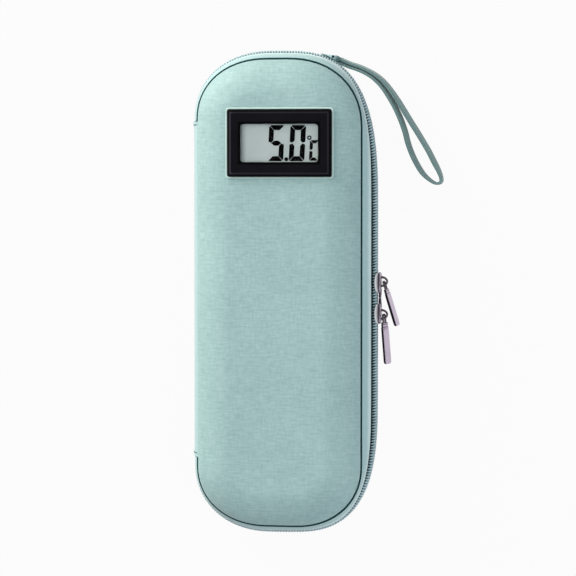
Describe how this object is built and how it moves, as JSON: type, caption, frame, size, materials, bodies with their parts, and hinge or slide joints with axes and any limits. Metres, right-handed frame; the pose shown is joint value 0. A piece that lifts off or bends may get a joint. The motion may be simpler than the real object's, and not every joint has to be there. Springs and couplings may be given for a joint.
{
  "type": "insulin cooling case",
  "caption": "Slim rounded hard case with a zip round its open sides, a thermometer display in its lid and a wrist strap; inside, pen loops and a gel pack pocket keep insulin pens cool.",
  "frame": {"origin": "middle of the flat back face, which is the face the case lies on", "axes": "+Z out of the front panel, +Y along the case towards the strap end, +X towards the zip sliders"},
  "size_m": [0.1048, 0.2058, 0.0419],
  "materials": {
    "shell_fabric": "fine linen weave, pale sea green",
    "foam": "closed-cell foam",
    "foil_lining": "crinkled silver film",
    "zip_coil": "wound coil, satin",
    "zip_tape": "woven tape",
    "zip_metal": "satin lilac grey plating",
    "strap_webbing": "narrow ribbed webbing",
    "board": "cloth-covered board",
    "elastic": "ribbed elastic",
    "gel_film": "wrinkled clear film over pale blue gel",
    "net": "open net",
    "black_plastic": "satin black",
    "clear_plastic": "polished clear",
    "lcd_glass": "grey-green display glass",
    "circuit": "green lacquer",
    "potting": "black potting resin",
    "soft_rubber": "matte",
    "cell_steel": "polished steel can",
    "contact_brass": "plain"
  },
  "bodies": {
    "case": {"back_cover": "shell_fabric", "back_foam": "foam", "back_lining": "foil_lining", "back_side_band": "shell_fabric", "back_zip_tape": "zip_tape", "back_zip_coil": "zip_coil", "back_spine_leaf": "shell_fabric", "strap_tab": "shell_fabric", "wrist_strap": "strap_webbing", "pen_board": "board", "upper_pen_elastic": "elastic", "lower_pen_elastic": "elastic"},
    "lid": {"front_cover": "shell_fabric", "front_foam": "foam", "front_lining": "foil_lining", "front_side_band": "shell_fabric", "front_zip_tape": "zip_tape", "front_zip_coil": "zip_coil", "front_spine_leaf": "shell_fabric", "gel_pack": "gel_film", "net_pocket": "net", "pocket_hem": "elastic", "display_bezel": "black_plastic", "display_window": "clear_plastic", "lcd_panel": "lcd_glass", "module_housing": "black_plastic", "circuit_board": "circuit", "controller_chip": "potting", "upper_zebra_strip": "soft_rubber", "lower_zebra_strip": "soft_rubber", "temperature_sensor": "potting", "left_button_cell": "cell_steel", "right_button_cell": "cell_steel", "left_cell_contact": "contact_brass", "right_cell_contact": "contact_brass"},
    "upper_slider": {"upper_slider": "zip_metal"},
    "upper_pull": {"upper_pull": "zip_metal"},
    "lower_slider": {"lower_slider": "zip_metal"},
    "lower_pull": {"lower_pull": "zip_metal"},
    "battery_door": {"battery_door": "black_plastic", "cell_link": "contact_brass"}
  },
  "joints": [
    {"name": "lid_hinge", "type": "hinge", "parent": "case", "child": "lid", "pos_m": [-0.0382, 0, 0.02], "axis": [0, -1, 0], "range_deg": [0, 175]},
    {"name": "upper_slider_travel", "type": "slide", "parent": "case", "child": "upper_slider", "axis": [0, 1, 0], "range_m": [0, 0.046]},
    {"name": "upper_pull_swing", "type": "hinge", "parent": "upper_slider", "child": "upper_pull", "pos_m": [0.04355, 0.0047, 0.02], "axis": [0, 0, 1], "range_deg": [-2, 140]},
    {"name": "lower_slider_travel", "type": "slide", "parent": "case", "child": "lower_slider", "axis": [0, -1, 0], "range_m": [0, 0.048]},
    {"name": "lower_pull_swing", "type": "hinge", "parent": "lower_slider", "child": "lower_pull", "pos_m": [0.04355, -0.0093, 0.02], "axis": [0, 0, 1], "range_deg": [-4, 18]},
    {"name": "battery_door_slide", "type": "slide", "parent": "lid", "child": "battery_door", "axis": [0, -1, 0], "range_m": [0, 0.014]}
  ]
}
